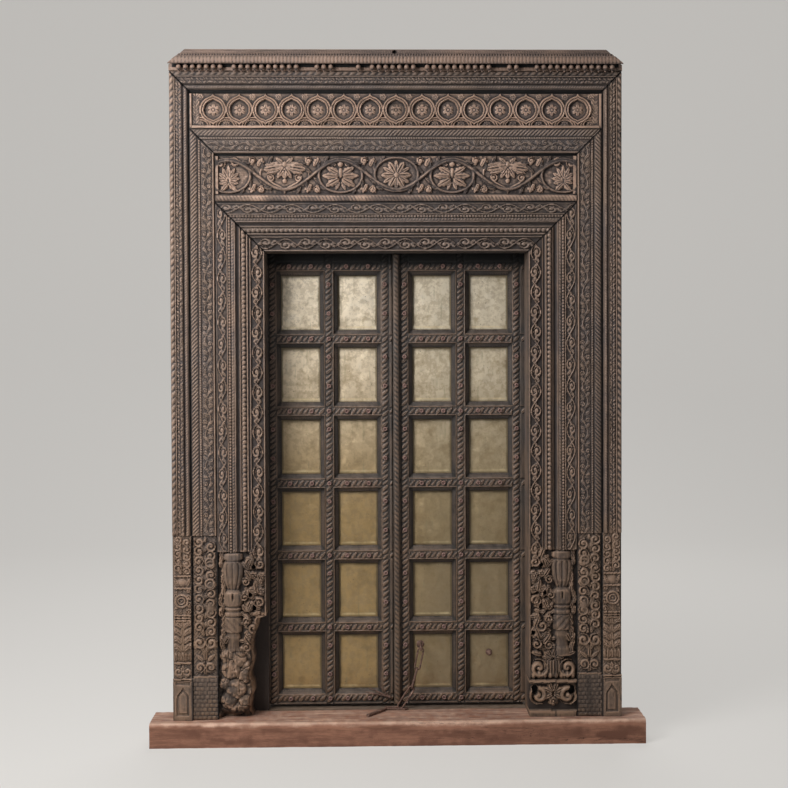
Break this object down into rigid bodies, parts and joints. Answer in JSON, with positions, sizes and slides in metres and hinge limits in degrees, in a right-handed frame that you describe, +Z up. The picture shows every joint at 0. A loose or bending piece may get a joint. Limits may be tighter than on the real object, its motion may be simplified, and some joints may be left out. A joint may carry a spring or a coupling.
{
  "type": "carved temple door",
  "caption": "Carved wooden double door in its nested carved surround, with brass-panelled leaves on wooden pivots, a threshold and a hanging latch chain.",
  "frame": {"origin": "centre of the bounding box on the floor, under the threshold", "axes": "+Z up, +X to the right as seen from the carved front, +Y backwards through the doorway"},
  "size_m": [1.716, 0.261, 2.398],
  "materials": {
    "carved_wood": "old dark hardwood, worn to pink-brown on the ridges",
    "threshold_wood": "reddish weathered plank",
    "brass_sheet": "aged beaten sheet",
    "rusted_iron": "hand-forged, brown rust"
  },
  "bodies": {
    "frame": {"threshold_plank": "threshold_wood", "rear_sill": "carved_wood", "rear_head_rail": "carved_wood", "outer_jamb_left": "carved_wood", "outer_jamb_right": "carved_wood", "outer_lintel": "carved_wood", "lattice_frieze": "carved_wood", "middle_jamb_left": "carved_wood", "middle_jamb_right": "carved_wood", "middle_lintel": "carved_wood", "scroll_frieze": "carved_wood", "inner_jamb_left": "carved_wood", "inner_jamb_right": "carved_wood", "inner_lintel": "carved_wood", "crown_moulding": "carved_wood", "crown_pendants": "carved_wood"},
    "left_leaf": {"left_backboard": "carved_wood", "left_pivot_stile": "carved_wood", "left_meeting_stile": "carved_wood", "left_batten_grid": "carved_wood", "left_studs": "rusted_iron", "left_brass_panel_1": "brass_sheet", "left_brass_panel_2": "brass_sheet", "left_brass_panel_3": "brass_sheet", "left_brass_panel_4": "brass_sheet", "left_brass_panel_5": "brass_sheet", "left_brass_panel_6": "brass_sheet", "left_brass_panel_7": "brass_sheet", "left_brass_panel_8": "brass_sheet", "left_brass_panel_9": "brass_sheet", "left_brass_panel_10": "brass_sheet", "left_brass_panel_11": "brass_sheet", "left_brass_panel_12": "brass_sheet", "bent_staple": "rusted_iron"},
    "right_leaf": {"right_backboard": "carved_wood", "right_pivot_stile": "carved_wood", "right_meeting_stile": "carved_wood", "right_batten_grid": "carved_wood", "right_studs": "rusted_iron", "right_brass_panel_1": "brass_sheet", "right_brass_panel_2": "brass_sheet", "right_brass_panel_3": "brass_sheet", "right_brass_panel_4": "brass_sheet", "right_brass_panel_5": "brass_sheet", "right_brass_panel_6": "brass_sheet", "right_brass_panel_7": "brass_sheet", "right_brass_panel_8": "brass_sheet", "right_brass_panel_9": "brass_sheet", "right_brass_panel_10": "brass_sheet", "right_brass_panel_11": "brass_sheet", "right_brass_panel_12": "brass_sheet", "astragal": "carved_wood", "chain_staple": "rusted_iron", "pull_knob": "rusted_iron"},
    "link_1": {"chain_link_1": "rusted_iron"},
    "link_2": {"chain_link_2": "rusted_iron"},
    "link_3": {"chain_link_3": "rusted_iron"},
    "link_4": {"chain_link_4": "rusted_iron"},
    "bar": {"latch_bar": "rusted_iron"}
  },
  "joints": [
    {"name": "left_leaf_swing", "type": "hinge", "parent": "frame", "child": "left_leaf", "pos_m": [-0.482, 0.0725, 0.086], "axis": [0, 0, 1], "range_deg": [0, 100]},
    {"name": "right_leaf_swing", "type": "hinge", "parent": "frame", "child": "right_leaf", "pos_m": [0.482, 0.0725, 0.086], "axis": [0, 0, 1], "range_deg": [-100, 0]},
    {"name": "link_1_swing", "type": "hinge", "parent": "right_leaf", "child": "link_1", "pos_m": [0.083, 0.0115, 0.298], "axis": [0, 1, 0], "range_deg": [0, 30]},
    {"name": "link_2_swing", "type": "hinge", "parent": "link_1", "child": "link_2", "pos_m": [0.0694, 0.0115, 0.23403], "axis": [0, 1, 0], "range_deg": [0, 30]},
    {"name": "link_3_swing", "type": "hinge", "parent": "link_2", "child": "link_3", "pos_m": [0.04973, 0.0115, 0.16062], "axis": [0, 1, 0], "range_deg": [0, 30]},
    {"name": "link_4_lift", "type": "hinge", "parent": "link_3", "child": "link_4", "pos_m": [0.03309, 0.0115, 0.0889], "axis": [0, 1, 0], "range_deg": [0, 45]},
    {"name": "latch_bar_lift", "type": "hinge", "parent": "link_4", "child": "bar", "pos_m": [-0.04145, 0.00422, 0.0922], "axis": [-0.766, 0.6428, 0], "range_deg": [0, 45]}
  ]
}
